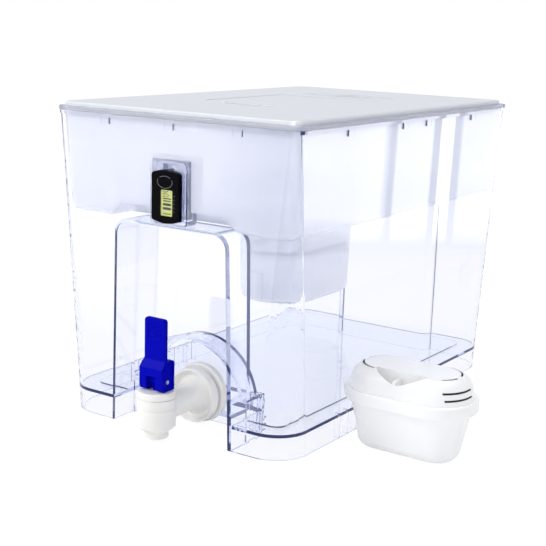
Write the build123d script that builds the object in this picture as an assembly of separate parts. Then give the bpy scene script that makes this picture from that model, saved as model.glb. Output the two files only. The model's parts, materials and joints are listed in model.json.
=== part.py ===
from build123d import *
import os
from math import atan, cos, degrees, radians, tan

# Gravity water filter with a lever tap. A clear tank stands on an open skirt. A hopper hangs in the
# top of the tank and carries the filter socket, and a lid with a fill flap closes it. The tap sits in
# an arched alcove at the back of a niche in the front wall. A filter life indicator sits in a pocket
# above the niche, and a spare filter cartridge stands beside the tank.
#
# Lengths are in millimetres. The origin is the centre of the tank's footprint on the table, +Z is up,
# the tap faces -Y, and +X is to the right of someone who faces the tap.

# ---------------------------------------------------------------- driving dimensions
# Tank
rim_width = 230.0            # over the rim, left to right
rim_depth = 356.4            # over the rim, front to back
rim_top = 247.4              # height of the rim's top face
rim_corner = 12.0
rim_band = 3.4               # thickness of the hopper's rim
rim_overhang = 2.8           # rim beyond the top of the tank wall
flange_band = 2.6            # thickness of the tank's own flange, under the rim
flange_setback = 0.8         # the flange stops this far inside the rim's edge
wall = 2.6
wall_lean = 3.4              # each wall leans in this much from the flange down to the table
corner_base = 29.0           # plan radius of the tank's corners at the table
corner_top = 6.5             # and under its flange
corner_least = 1.5           # no inner corner is sharper than this
floor_top = 20.0
plateau_inset = 18.0         # the middle of the floor is a raised plateau, this far inside the wall
plateau_rise = 1.2
clip_width = 8.0             # small clips under the flange
clip_height = 5.0
side_clips = (-105.0, -20.0, 20.0, 105.0)
front_clips = (-62.0, 0.0, 62.0)
skirt_ribs = 8               # ribs inside each long side of the skirt
skirt_rib_pitch = 12.6
skirt_rib_middle = -50.0
skirt_rib_reach = 4.5
skirt_rib = 1.4

# Niche, alcove, sump and rear recess
niche_depth = 27.4           # from the top of the front wall back to the niche's back wall
niche_half_top = 52.0
niche_half_base = 56.5
niche_roof = 162.5
niche_corner = 10.0
alcove_depth = 22.0          # from the niche's back wall to the wall that carries the tap
alcove_front_radius = 51.0
alcove_rear_radius = 48.0
alcove_front_centre = 20.5   # heights of the two arcs' centres
alcove_rear_centre = 22.0
alcove_foot_half = 54.9      # the alcove's foot is a box, wider than its arch
alcove_foot_top = 31.4
sump_half = 22.0             # well in the floor behind the tap, which holds the lock nut
sump_length = 28.0
sump_floor = 8.0
recess_half = 50.0           # shallow recess down the middle of the back wall
recess_depth = 12.0
recess_top = 232.0
recess_corner = 8.0

# Indicator and its pocket
indicator_proud = 4.6        # the indicator's face stands this far out of the front wall
indicator_half = 13.0
indicator_below_rim = 42.8   # from the rim's top face down to the top of its side edges
indicator_side = 34.8        # length of its side edges
indicator_arch = 2.6         # its top and bottom edges bulge by this much
indicator_corner = 2.0
indicator_depth = 14.4
indicator_shell = 1.4
indicator_face = 1.6
pocket_proud = 0.6           # the clear block round the pocket stands this far out of the wall
pocket_border = 4.0          # clear material beside the indicator
pocket_above = 6.0           # and above it
pocket_below = 1.9
pocket_corner = 4.0
thumb_slot_half = 5.0        # slot above the indicator, to push it out
thumb_slot_height = 4.4
thumb_slot_depth = 6.0
window_width = 11.0
window_height = 19.5
window_shift = 1.7           # the window lies a little right of the middle
window_below_button = 1.2
window_recess = 0.3
window_plate = 1.2
display_border = 0.6
display_depth = 3.4
board_thickness = 1.2
switch_size = 5.0
switch_height = 1.15
cell_radius = 8.0
cell_thickness = 3.2
hold_down_radius = 5.0
back_plate = 1.2
back_spigot = 1.6
button_below_top = 6.3       # its middle below the top of the indicator's side edges
button_half_width = 6.1
button_half_height = 4.5
button_proud = 0.2
button_ear = 1.7             # its flange is wider than the hole by this much on each side
button_flange = 0.65
button_stem_radius = 1.8
button_stem = 0.6

# Hopper and filter socket
hopper_gap = 1.5             # between the tank's wall and the hopper
hopper_wall = 2.0
hopper_bottom = 165.2
hopper_edge = 7.0            # radius round the hopper's bottom
shelf_rise = 11.5            # the bottom is higher over the niche
shelf_half_top = 48.0
shelf_half_base = 60.0
shelf_corner = 8.0           # both ends of the slope between the two heights are rounded
shelf_wing = 30.0
shelf_reach = 3.5            # past the niche's back wall
notch_gap = 1.2              # round the pocket and the rear recess
socket_wall = 2.2
socket_bottom = 84.0
socket_draft = 1.5           # degrees
socket_edge = 6.0
socket_ledge = 125.5         # top of the ledge that the cartridge's lip rests on
socket_ledge_thickness = 3.0
socket_gap = 1.5             # round the cartridge's lip
socket_throat = 1.2          # round the cartridge's body
drain_holes = 6
drain_radius = 3.0
drain_pitch = 14.0
key_width = 11.0             # flat key on the front of the socket
key_height = 22.0
key_base = 88.0
key_proud = 1.2
seal_thickness = 2.0
seal_width = 3.0

# Lid and fill flap
lid_inset = 5.2              # lid edge inside the rim's edge
lid_rise = 3.2
lid_plate = 2.4
lid_edge = 3.0
lid_corner = 8.0
lid_bevel = 0.9
lid_skirt_depth = 8.4        # locating skirt below the rim's top face
lid_skirt = 2.0
lid_skirt_gap = 0.7
lid_skirt_corner = 4.0
flap_half = 50.0
flap_front = -70.0
flap_hinge = 44.0            # hinge line, behind the lid's middle
flap_plate = 2.0
flap_sunk = 0.2              # the flap's face lies this far below the lid's
flap_corner = 8.0
flap_gap = 0.5
flap_barrel = 2.6
flap_ledge = 3.0
flap_ledge_thickness = 2.0
flap_ledge_end = 36.0        # the ledge stops before the hinge
hinge_pin_radius = 1.2
hinge_pin_reach = 4.0        # into the flap, and as far into the lid
hinge_boss = 6.0
hinge_boss_drop = 3.0
finger_dish = (30.0, 11.0)   # half sizes of the dish in front of the flap
finger_dish_middle = -74.0
finger_dish_depth = 3.4
rear_dish = (46.0, 19.0)
rear_dish_middle = 82.0
rear_dish_depth = 2.0
dish_slope = 5.0             # its side slopes in by this much
dish_wall = 1.6

# Tap
tap_height = 24.5            # axis of the shank above the table
barrel_reach = 61.0          # barrel axis in front of the mounting wall
gasket = 2.0
outer_gasket_radius = 20.0
inner_gasket_radius = 13.0
collar_radius = 24.0
collar_thickness = 6.0
collar_hub_radius = 17.0
collar_hub = 3.0
tap_flange_radius = 22.0
tap_flange = 8.0
flange_lip = 2.2             # raised lip round the flange's dished front
dish_depth = 4.0
neck_root_radius = 16.0      # the neck flares like a bell from here
neck_radius = 11.0
neck_flare = 12.0            # length of the flare
flare_steps = 6
shank_radius = 8.0
thread_depth = 0.6
thread_pitch = 1.5
shank_hole_gap = 0.3
shank_past_nut = 4.0
inlet_radius = 4.8
nut_flats = 24.0
nut_thickness = 7.0
barrel_radius = 15.0
barrel_base = 10.0
barrel_chamfer = 2.5
groove_height = 27.0
groove_width = 0.7
groove_depth = 0.5
chamber_radius = 9.0
seat_height = 14.5
seat_radius = 6.0
nozzle_radius = 9.5
nozzle_bottom = 3.0
nozzle_spigot = 3.0
nozzle_spigot_radius = 8.0
nozzle_fit = 0.05
bonnet_base = 35.0
bonnet_top = 40.5
bonnet_spigot = 3.5
bonnet_spigot_radius = 12.0
bonnet_recess_radius = 6.5
bonnet_recess = 2.5
bonnet_edge = 1.0
bonnet_side_gap = 0.5        # between the bonnet and the neck behind it
stem_seal_height = 1.4
stem_seal_radius = 4.6
running_fit = 0.05           # between a shaft and its hole

# Valve and lever
plug_radius = 8.2
plug_thickness = 3.0
plug_pocket = 1.5
stem_foot_radius = 2.5
stem_collar_radius = 7.0
stem_collar = 1.5
stem_radius = 3.0
stem_head_radius = 4.0
stem_head_half = 4.2
spring_mean_radius = 4.9
spring_wire = 0.55           # radius
spring_turns = 5
pin_radius = 1.5
pin_end_gap = 0.4
lever_gap = 0.5              # between the bonnet and the lever's block
cam_drop = 7.0               # block's bottom below the pin
lever_half = 11.0
lever_block_depth = 15.0
fork_half = 4.5
fork_gap = 0.2
lever_chest = 17.5           # height of the block's front face
lever_block = 23.0           # height of its back face
lever_height = 56.0
shoulder_height = 20.5       # the block narrows to the paddle's width above this
shoulder_slope = 4.0
paddle_half = 9.75
paddle_thickness = 3.5
paddle_set_forward = 3.0     # paddle's front face in front of the pin
paddle_corner = 3.0
block_edge = 1.5
cam_radius = 3.5
grip_grooves = 5
grip_pitch = 2.6
grip_depth = 0.6
grip_half = 6.5
grip_top = 5.5               # first groove below the lever's top
cheek_depth = 1.0            # shallow panel in each side of the block
cheek_border = 1.6

# Cartridge
cartridge_gap = 2.9          # between the tank's foot and the end of the cartridge beside it
cartridge_forward = -87.0
cartridge_length = 105.0
cartridge_width = 64.0
cartridge_corner = 31.0
lip_base = 41.0
lip_height = 8.0
lip_edge = 1.5
body_inset_top = 4.6         # body inside the lip at its ends, just below it
body_inset_width = 6.4       # and at its sides
body_draw_in = 8.6           # from there down to the table
body_edge = 10.0
body_wall = 1.6
body_flange = 1.6
body_flange_inset = 1.0
dome_inset = 3.2
dome_height = 17.6           # above the lip
dome_draw_in = 4.0
dome_edge = 11.0
dome_wall = 2.0
grip_recess = (21.0, 11.0)   # half width, reach of the half-moon finger recess
grip_recess_line = -15.5     # its straight edge, from the cartridge's middle
grip_recess_depth = 11.6     # below the dome's top
grip_rib_place = -3.0
grip_rib = 2.4
grip_rib_height = 6.0
slot_width = 1.6
top_slot_inset = 13.0        # curved slots round the top, this far inside the lip's edge
top_slot_reach = ((22.0, 40.0, 3.0, 26.0), (22.0, 40.0, -15.0, -3.0))
shoulder_slot_rise = (3.4, 8.6)   # flat slots in the shoulder, above the lip
shoulder_slot_reach = (34.0, 60.0, -22.0, 3.0)
screen_sunk = 0.6
media_gap = 0.4
cover_thickness = 1.2
cover_gap = 0.2              # between the cover and the cap
cover_hole_radius = 1.5
cover_hole_pitch = (10.0, 12.0)
cover_hole_count = (8, 3)
outlet_slots = 7
outlet_slot = (2.0, 12.0)
outlet_pitch = 8.0

# ---------------------------------------------------------------- worked-out places
beyond = 400.0               # longer than any cut needs
spill = 1.0                  # a cut runs past its face by this much
wall_top = rim_top - rim_band - flange_band
flange_top = rim_top - rim_band
floor_bottom = floor_top - wall
front_wall = rim_overhang - rim_depth / 2
back_wall = -front_wall
niche_back = front_wall + niche_depth
alcove_back = niche_back + alcove_depth
sump_front = alcove_back + wall
sump_back = sump_front + sump_length
recess_face = back_wall - recess_depth

indicator_high = rim_top - indicator_below_rim
indicator_low = indicator_high - indicator_side
button_middle = indicator_high - button_below_top
window_middle = button_middle - button_half_height - window_below_button - window_height / 2
cell_middle = (indicator_low + indicator_high) / 2
indicator_front = front_wall - indicator_proud
pocket_front = front_wall - pocket_proud
indicator_back = indicator_front + indicator_depth
board_front = indicator_front + indicator_face + display_depth
board_back = board_front + board_thickness
pocket_low = indicator_low - indicator_arch - pocket_below
pocket_high = indicator_high + indicator_arch + pocket_above
pocket_half = indicator_half + pocket_border
pocket_floor = indicator_back + back_plate + 0.2
pocket_back = pocket_floor + wall
lid_top = rim_top + lid_rise

barrel_y = alcove_back - barrel_reach
stem_collar_low = seat_height + plug_thickness
stem_collar_top = stem_collar_low + stem_collar
lever_base = bonnet_top + lever_gap
pin_height = lever_base + cam_drop
lever_top = lever_base + lever_height
tank_foot = rim_width / 2 - rim_overhang - wall_lean
cartridge_across = tank_foot + cartridge_gap + cartridge_length / 2
cover_low = lip_base - cover_thickness - cover_gap
lip_top = lip_base + lip_height
dome_top = lip_top + dome_height
grip_recess_floor = dome_top - grip_recess_depth


# ---------------------------------------------------------------- shared shapes
def box_between(left, right, front, back, low, high):
    """A box given by the places of its six faces."""
    middle = ((left + right) / 2, (front + back) / 2, (low + high) / 2)
    return Pos(*middle) * Box(right - left, back - front, high - low)


def facing(place):
    """The upright plane at one Y, drawn on as seen from the front: across is X, up is Z."""
    return Plane((0, place, 0), x_dir=(1, 0, 0), z_dir=(0, -1, 0))


def along_y(outline, front, back):
    """Carry an outline seen from the front through from its front face to its back face."""
    return extrude(facing(back) * outline, amount=back - front)


def along_z(outline, low, high):
    """Carry a plan outline up from one height to another."""
    return extrude(Pos(0, 0, low) * outline, amount=high - low)


def rounded_outline(*corners):
    """A closed outline from its corners, each given as across, up and radius."""
    points = [(across, up) for across, up, _ in corners]
    radii = [radius for _, _, radius in corners]
    return make_face(FilletPolyline(*points, radius=radii, close=True))


def turned(*profile):
    """A solid of revolution about Z from a closed profile of radius and height."""
    corners = [(radius, 0, height) for radius, height in profile]
    return revolve(make_face(Polyline(*corners, close=True)), Axis.Z)


def envelope_plan(height, inset):
    """The tank's plan at one height, moved in by an inset. Its corners sharpen on the way up."""
    share = height / wall_top
    reach = rim_overhang + wall_lean * (1 - share) + inset
    corner = max(corner_base + (corner_top - corner_base) * share - inset, corner_least)
    return Pos(0, 0, height) * RectangleRounded(rim_width - 2 * reach, rim_depth - 2 * reach, corner)


def envelope(low, high, inset=0.0):
    """The tank's leaning outer form between two heights, moved in by an inset."""
    return loft([envelope_plan(low, inset), envelope_plan(high, inset)], ruled=True)


# ---------------------------------------------------------------- tank
def niche_block(grow, front, back):
    """The niche: sides that lean in towards a roof with rounded corners."""
    outline = rounded_outline(
        (-niche_half_base - grow, -spill, 0),
        (niche_half_base + grow, -spill, 0),
        (niche_half_top + grow, niche_roof + grow, niche_corner + grow),
        (-niche_half_top - grow, niche_roof + grow, niche_corner + grow),
    )
    return along_y(outline, front, back)


def arch_outline(radius, centre):
    """A round arch on straight legs."""
    left, right = (-radius, centre), (radius, centre)
    left_foot, right_foot = (-radius, -spill), (radius, -spill)
    sides = [
        Line(left_foot, right_foot),
        Line(right_foot, right),
        ThreePointArc(right, (0, centre + radius), left),
        Line(left, left_foot),
    ]
    return make_face(sides)


def alcove_block(grow, front, back):
    """The tapering arch that holds the tap, with its wider box-shaped foot."""
    arches = [
        facing(front) * arch_outline(alcove_front_radius + grow, alcove_front_centre),
        facing(back) * arch_outline(alcove_rear_radius + grow, alcove_rear_centre),
    ]
    half = alcove_foot_half + grow
    foot = box_between(-half, half, front, back - wall, -spill, alcove_foot_top + grow)
    return loft(arches, ruled=True) + foot


def recess_block(grow):
    """The recess down the back wall, open at the back and at the table."""
    half = recess_half + grow
    plan = rounded_outline(
        (-half, beyond / 2, 0),
        (-half, recess_face - grow, recess_corner + grow),
        (half, recess_face - grow, recess_corner + grow),
        (half, beyond / 2, 0),
    )
    return along_z(plan, -spill, recess_top + grow)


def indicator_outline(grow=0.0):
    """The indicator seen from the front: straight sides, bulging top and bottom."""
    half, low, high = indicator_half + grow, indicator_low - grow, indicator_high + grow
    sides = [
        Line((-half, high), (-half, low)),
        ThreePointArc((-half, low), (0, low - indicator_arch), (half, low)),
        Line((half, low), (half, high)),
        ThreePointArc((half, high), (0, high + indicator_arch), (-half, high)),
    ]
    face = make_face(sides)
    return fillet(face.vertices(), max(indicator_corner + grow, indicator_corner / 4))


def pocket_block():
    """The solid block that the indicator's pocket is sunk into."""
    height = pocket_high - pocket_low
    outline = Pos(0, pocket_low + height / 2) * RectangleRounded(2 * pocket_half, height, pocket_corner)
    return along_y(outline, pocket_front, pocket_back)


def tank_shell():
    """Clear tank: wall, floor, open skirt, niche, alcove, sump, rear recess and pocket."""
    pocket = pocket_block()
    niche_wall = niche_block(wall, -beyond / 2, niche_back + wall)
    alcove_wall = alcove_block(wall, niche_back, alcove_back + wall)
    sump_side = sump_half + wall
    sump_wall = box_between(-sump_side, sump_side, alcove_back, sump_back + wall,
                            sump_floor - wall, floor_top)
    kept = [niche_wall, alcove_wall, recess_block(wall)]

    plateau = envelope(floor_top, floor_top + plateau_rise, plateau_inset)
    reservoir = envelope(floor_top, flange_top + spill, wall) - kept - [pocket, plateau]

    half_inside = tank_foot - wall
    ribs = []
    for number in range(skirt_ribs):
        middle = skirt_rib_middle + (number - (skirt_ribs - 1) / 2) * skirt_rib_pitch
        for side in (-1, 1):
            near, far = sorted((side * (half_inside - skirt_rib_reach), side * (half_inside + wall)))
            ribs.append(box_between(near, far, middle - skirt_rib / 2, middle + skirt_rib / 2,
                                    0, floor_top))
    under_floor = envelope(-spill, floor_bottom, wall) - kept - [sump_wall] - ribs

    flange = along_z(RectangleRounded(rim_width - 2 * flange_setback, rim_depth - 2 * flange_setback,
                                      rim_corner - flange_setback), wall_top, flange_top)
    shell = envelope(0, wall_top) + flange + pocket - reservoir - under_floor

    clips = []
    clip_low = wall_top - clip_height
    reach = rim_width / 2 - 2 * flange_setback
    for place in side_clips:
        for side in (-1, 1):
            near, far = sorted((side * (reach - rim_overhang), side * reach))
            clips.append(box_between(near, far, place - clip_width / 2, place + clip_width / 2,
                                     clip_low, wall_top))
    for place in front_clips:
        outer = 2 * flange_setback - rim_depth / 2
        clips.append(box_between(place - clip_width / 2, place + clip_width / 2,
                                 outer, outer + rim_overhang, clip_low, wall_top))
    shell += clips

    sump = box_between(-sump_half, sump_half, sump_front, sump_back,
                       sump_floor, floor_top + plateau_rise + spill)
    pocket_hollow = along_y(indicator_outline(0.2), pocket_front - spill, pocket_floor)
    slot_top = indicator_high + indicator_arch + thumb_slot_height
    thumb_slot = box_between(-thumb_slot_half, thumb_slot_half, pocket_front - spill,
                             pocket_front + thumb_slot_depth, indicator_high, slot_top)
    shank_hole = along_y(Pos(0, tap_height) * Circle(shank_radius + shank_hole_gap),
                         alcove_back - spill, sump_front + spill)
    return shell - [
        niche_block(0, -beyond / 2, niche_back),
        alcove_block(0, niche_back - spill, alcove_back),
        recess_block(0), sump, pocket_hollow, thumb_slot, shank_hole,
    ]


# ---------------------------------------------------------------- indicator
def indicator_housing():
    """Black front shell, open at the back, with a window and a button hole."""
    shell = along_y(indicator_outline(), indicator_front, indicator_back)
    front_edges = shell.edges().group_by(Axis.Y)[0]
    shell = fillet(front_edges, indicator_face / 2)
    hollow = along_y(indicator_outline(-indicator_shell), indicator_front + indicator_face,
                     indicator_back + spill)
    window = Pos(window_shift, window_middle) * RectangleRounded(window_width, window_height, 0.8)
    hole_half = (button_half_width + 0.2, button_half_height + 0.2)
    hole = Pos(0, button_middle) * Ellipse(*hole_half)
    openings = [along_y(shape, indicator_front - spill, indicator_front + indicator_face + spill)
                for shape in (window, hole)]
    return shell - hollow - openings


def indicator_window():
    """Clear pane that fills the window opening."""
    pane = RectangleRounded(window_width - 0.1, window_height - 0.1, 0.75)
    face = indicator_front + window_recess
    return along_y(Pos(window_shift, window_middle) * pane, face, face + window_plate)


def indicator_display():
    """Display module between the window and the board."""
    width, height = window_width + 2 * display_border, window_height + 2 * display_border
    return along_y(Pos(window_shift, window_middle) * Rectangle(width, height),
                   indicator_front + indicator_face, board_front)


def indicator_board():
    """Circuit board behind the display."""
    return along_y(indicator_outline(-indicator_shell - 0.3), board_front, board_back)


def indicator_switch():
    """Dome switch under the button."""
    square = Pos(0, button_middle) * RectangleRounded(switch_size, switch_size, 0.6)
    return along_y(square, board_front - switch_height, board_front)


def indicator_cell():
    """Coin cell on the back of the board."""
    return along_y(Pos(0, cell_middle) * Circle(cell_radius), board_back, board_back + cell_thickness)


def indicator_cover():
    """Back cover with a spigot inside the housing and a post that holds the cell."""
    plate = along_y(indicator_outline(), indicator_back, indicator_back + back_plate)
    spigot = along_y(indicator_outline(-indicator_shell - 0.15), indicator_back - back_spigot,
                     indicator_back)
    spigot -= along_y(indicator_outline(-indicator_shell - 1.4), indicator_back - back_spigot - spill,
                      indicator_back)
    post = along_y(Pos(0, cell_middle) * Circle(hold_down_radius), board_back + cell_thickness + 0.1,
                   indicator_back)
    return plate + spigot + post


def indicator_button():
    """Oval push button: cap, flange with two ears, and a stem over the switch."""
    back = indicator_front + indicator_face + running_fit
    cap = along_y(Pos(0, button_middle) * Ellipse(button_half_width, button_half_height),
                  indicator_front - button_proud, back)
    cap = chamfer(cap.edges().group_by(Axis.Y)[0], 0.3)
    flange_outline = Ellipse(button_half_width + button_ear, button_half_height + 0.2)
    flange = along_y(Pos(0, button_middle) * flange_outline, back, back + button_flange)
    stem = along_y(Pos(0, button_middle) * Circle(button_stem_radius), back + button_flange,
                   back + button_flange + button_stem)
    return cap + flange + stem


# ---------------------------------------------------------------- hopper
def hopper_block(grow, bottom):
    """The space inside the tank's top that the hopper fills; grow steps in to its inner side."""
    block = envelope(bottom, rim_top, wall + hopper_gap + grow)
    block = fillet(block.edges().group_by(Axis.Z)[0], hopper_edge - grow)
    side = grow + notch_gap
    base, wing = shelf_half_base + grow, shelf_half_base + shelf_wing
    step, low = hopper_bottom + grow, hopper_bottom - shelf_rise
    shelf = rounded_outline(
        (-wing, low, 0), (wing, low, 0), (wing, step, 0), (base, step, shelf_corner - grow),
        (shelf_half_top + grow, step + shelf_rise, shelf_corner + grow),
        (-shelf_half_top - grow, step + shelf_rise, shelf_corner + grow),
        (-base, step, shelf_corner - grow), (-wing, step, 0),
    )
    return block - [
        along_y(shelf, -beyond / 2, niche_back + wall + shelf_reach + grow),
        box_between(-pocket_half - side, pocket_half + side, -beyond / 2, pocket_back + side,
                    low, pocket_high + side),
        Pos(0, -side, 0) * recess_block(wall) + along_z(
            Pos(0, beyond / 4 + recess_face - wall - side)
            * Rectangle(2 * (recess_half + wall + side), beyond / 2), low, recess_top + wall + side),
    ]


def socket_section(height, grow):
    """Plan of the filter socket at one height; grow 0 is its inner side."""
    spread = (height - socket_ledge) * tan(radians(socket_draft))
    width = cartridge_width + 2 * (socket_gap + spread + grow)
    length = cartridge_length + 2 * (socket_gap + spread + grow)
    corner = cartridge_corner + socket_gap + spread + grow
    return Pos(0, 0, height) * RectangleRounded(width, length, corner)


def socket_block(low, high, grow):
    """The socket's form between two heights, with a rounded bottom edge."""
    block = extrude(socket_section(low, grow), amount=high - low, taper=-socket_draft)
    return fillet(block.edges().group_by(Axis.Z)[0], socket_edge - socket_wall + grow)


def throat(grow=0.0):
    """Plan of the opening in the ledge that the cartridge's body hangs through."""
    width = cartridge_width - 2 * (body_inset_width - socket_throat + grow)
    length = cartridge_length - 2 * (body_inset_top - socket_throat + grow)
    return RectangleRounded(width, length, cartridge_corner - body_inset_width + socket_throat - grow)


def hopper():
    """Hopper: rim, leaning walls, notches and the filter socket under its bottom."""
    rim = along_z(RectangleRounded(rim_width, rim_depth, rim_corner), flange_top, rim_top)
    rim = fillet(rim.edges().group_by(Axis.Z)[-1] + rim.edges().group_by(Axis.Z)[0], rim_band / 4)
    inside_floor = hopper_bottom + hopper_wall
    cavity = hopper_block(hopper_wall, inside_floor)
    cavity += along_z(cavity_mouth(), rim_top - spill, rim_top + spill)
    socket = socket_block(socket_bottom, inside_floor, socket_wall)
    key = box_between(-key_width / 2, key_width / 2,
                      -cartridge_length / 2 - socket_gap - socket_wall - key_proud,
                      -cartridge_length / 2, key_base, key_base + key_height)
    well = socket_block(socket_bottom + socket_wall, inside_floor + spill, 0)
    ledge = extrude(socket_section(socket_ledge - socket_ledge_thickness, socket_wall / 2),
                    amount=socket_ledge_thickness)
    ledge -= along_z(throat(), socket_bottom, rim_top)
    drains = []
    for number in range(drain_holes):
        place = (number - (drain_holes - 1) / 2) * drain_pitch
        drains.append(Pos(0, place, socket_bottom) * Cylinder(drain_radius, 4 * socket_wall))
    return hopper_block(0, hopper_bottom) + rim + socket + key - cavity - well - drains + ledge


def cavity_mouth():
    """Plan of the hopper's mouth at the rim."""
    return Pos(0, 0, -wall_top) * envelope_plan(wall_top, wall + hopper_gap + hopper_wall)


def socket_seal():
    """Rubber ring on the socket's ledge."""
    ring = throat(-seal_width) - throat()
    return along_z(ring, socket_ledge, socket_ledge + seal_thickness)


# ---------------------------------------------------------------- lid
def dish_block(half_sizes, middle, depth, grow):
    """A shallow oval dish sunk into the lid; grow gives the material under it."""
    wide = Ellipse(half_sizes[0] + grow, half_sizes[1] + grow)
    narrow = Ellipse(half_sizes[0] - dish_slope + grow, half_sizes[1] - dish_slope + grow)
    return loft([Pos(0, middle, lid_top) * wide, Pos(0, middle, lid_top - depth - grow) * narrow])


def lid():
    """Lid plate with a beveled edge, a locating skirt, the flap's opening and two dishes."""
    width, depth = rim_width - 2 * lid_inset, rim_depth - 2 * lid_inset
    plate = along_z(RectangleRounded(width, depth, lid_corner), rim_top, lid_top)
    plate = chamfer(plate.edges().group_by(Axis.Z)[-1], lid_bevel)
    plate -= along_z(RectangleRounded(width - 2 * lid_edge, depth - 2 * lid_edge, lid_corner - lid_edge),
                     rim_top - spill, lid_top - lid_plate)
    skirt_low = rim_top - lid_skirt_depth
    inset = wall + hopper_gap + hopper_wall + lid_skirt_gap
    lean = wall_lean * (1 - skirt_low / wall_top)
    skirt_width = rim_width - 2 * (rim_overhang + lean + inset)
    skirt_depth = rim_depth - 2 * (rim_overhang + lean + inset)
    skirt = RectangleRounded(skirt_width, skirt_depth, lid_skirt_corner) - RectangleRounded(
        skirt_width - 2 * lid_skirt, skirt_depth - 2 * lid_skirt, lid_skirt_corner - lid_skirt)
    plate += along_z(skirt, skirt_low, lid_top - lid_plate)

    barrel_back = flap_hinge + flap_barrel + flap_gap
    half = flap_half + flap_gap
    opening_front = flap_front - flap_gap
    ledge_top = lid_top - flap_sunk - flap_plate - 0.2
    frame = box_between(-half - flap_ledge, half + flap_ledge, opening_front - flap_ledge,
                        barrel_back + flap_ledge, ledge_top - flap_ledge_thickness, lid_top - lid_plate)
    boss_low = lid_top - flap_barrel - hinge_boss_drop
    bosses = [box_between(min(side * half, side * (half + hinge_boss)),
                          max(side * half, side * (half + hinge_boss)),
                          flap_hinge - hinge_boss / 2, flap_hinge + hinge_boss / 2,
                          boss_low, lid_top - lid_plate) for side in (-1, 1)]
    finger_wall = dish_block(finger_dish, finger_dish_middle, finger_dish_depth, dish_wall)
    rear_wall = dish_block(rear_dish, rear_dish_middle, rear_dish_depth, dish_wall)
    under_top = box_between(-beyond, beyond, -beyond, beyond, 0, lid_top - lid_bevel)
    plate = plate + frame + bosses + (finger_wall & under_top) + (rear_wall & under_top)

    opening = rounded_outline((-half, opening_front, flap_corner + flap_gap),
                              (half, opening_front, flap_corner + flap_gap),
                              (half, barrel_back, 0), (-half, barrel_back, 0))
    inner = box_between(flap_ledge - half, half - flap_ledge, opening_front + flap_ledge,
                        barrel_back, skirt_low, lid_top)
    hinge_bay = box_between(-half, half, flap_ledge_end, barrel_back, skirt_low, lid_top)
    pin_bore = Pos(0, flap_hinge, lid_top - flap_barrel) * Rot(0, 90, 0) * Cylinder(
        hinge_pin_radius, 2 * (half + hinge_pin_reach))
    return plate - [
        along_z(opening, ledge_top, lid_top + spill), inner, hinge_bay, pin_bore,
        dish_block(finger_dish, finger_dish_middle, finger_dish_depth, 0),
        dish_block(rear_dish, rear_dish_middle, rear_dish_depth, 0),
    ]


def fill_flap():
    """Fill flap: a plate with a round barrel along its rear edge."""
    top = lid_top - flap_sunk
    outline = rounded_outline((-flap_half, flap_front, flap_corner), (flap_half, flap_front, flap_corner),
                              (flap_half, flap_hinge, 0), (-flap_half, flap_hinge, 0))
    plate = along_z(outline, top - flap_plate, top)
    axis = Pos(0, flap_hinge, lid_top - flap_barrel) * Rot(0, 90, 0)
    barrel = axis * Cylinder(flap_barrel, 2 * flap_half)
    bores = [Pos(side * flap_half, flap_hinge, lid_top - flap_barrel) * Rot(0, 90, 0)
             * Cylinder(hinge_pin_radius + running_fit, 2 * (hinge_pin_reach + 0.2)) for side in (-1, 1)]
    return plate + barrel - bores


def flap_pins():
    """The two hinge pins, fixed in the lid's bosses."""
    inner, outer = flap_half - hinge_pin_reach, flap_half + flap_gap + hinge_pin_reach
    pin = Cylinder(hinge_pin_radius, outer - inner)
    return [Pos(side * (inner + outer) / 2, flap_hinge, lid_top - flap_barrel) * Rot(0, 90, 0) * pin
            for side in (-1, 1)]


# ---------------------------------------------------------------- tap
def on_shank(solid):
    """Lay a piece turned about Z on the shank's axis: its zero at the mounting wall, its top forward."""
    return Pos(0, alcove_back, tap_height) * Rot(90, 0, 0) * solid


def gasket_ring(radius, back):
    """A flat rubber ring round the shank, from its back face forward."""
    bore = shank_radius + shank_hole_gap
    return on_shank(turned((bore, back), (radius, back), (radius, back + gasket), (bore, back + gasket)))


def tap_collar():
    """Wide white ring between the tap's flange and the alcove wall."""
    bore = shank_radius + shank_hole_gap
    front = gasket + collar_thickness
    ring = turned((bore, gasket), (collar_radius, gasket), (collar_radius, front - 1.0),
                  (collar_radius - 1.0, front), (collar_hub_radius, front),
                  (collar_hub_radius, front + collar_hub), (bore, front + collar_hub))
    return on_shank(ring)


def shank_profile(back, front):
    """Outer edge of the shank from back to front, as a row of thread crests and roots."""
    profile = [(shank_radius - thread_depth, back)]
    turns = int((front - back) / thread_pitch)
    for number in range(turns):
        start = back + number * thread_pitch
        profile.append((shank_radius, start + thread_pitch / 2))
        profile.append((shank_radius - thread_depth, start + thread_pitch))
    return profile


def flare_profile(base):
    """Outer edge of the neck's flare: it leaves the dish steeply and runs out flush with the neck."""
    profile = []
    for number in range(flare_steps + 1):
        share = number / flare_steps
        radius = neck_radius + (neck_root_radius - neck_radius) * (1 - share) ** 2
        profile.append((radius, base + neck_flare * share))
    return profile


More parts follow.
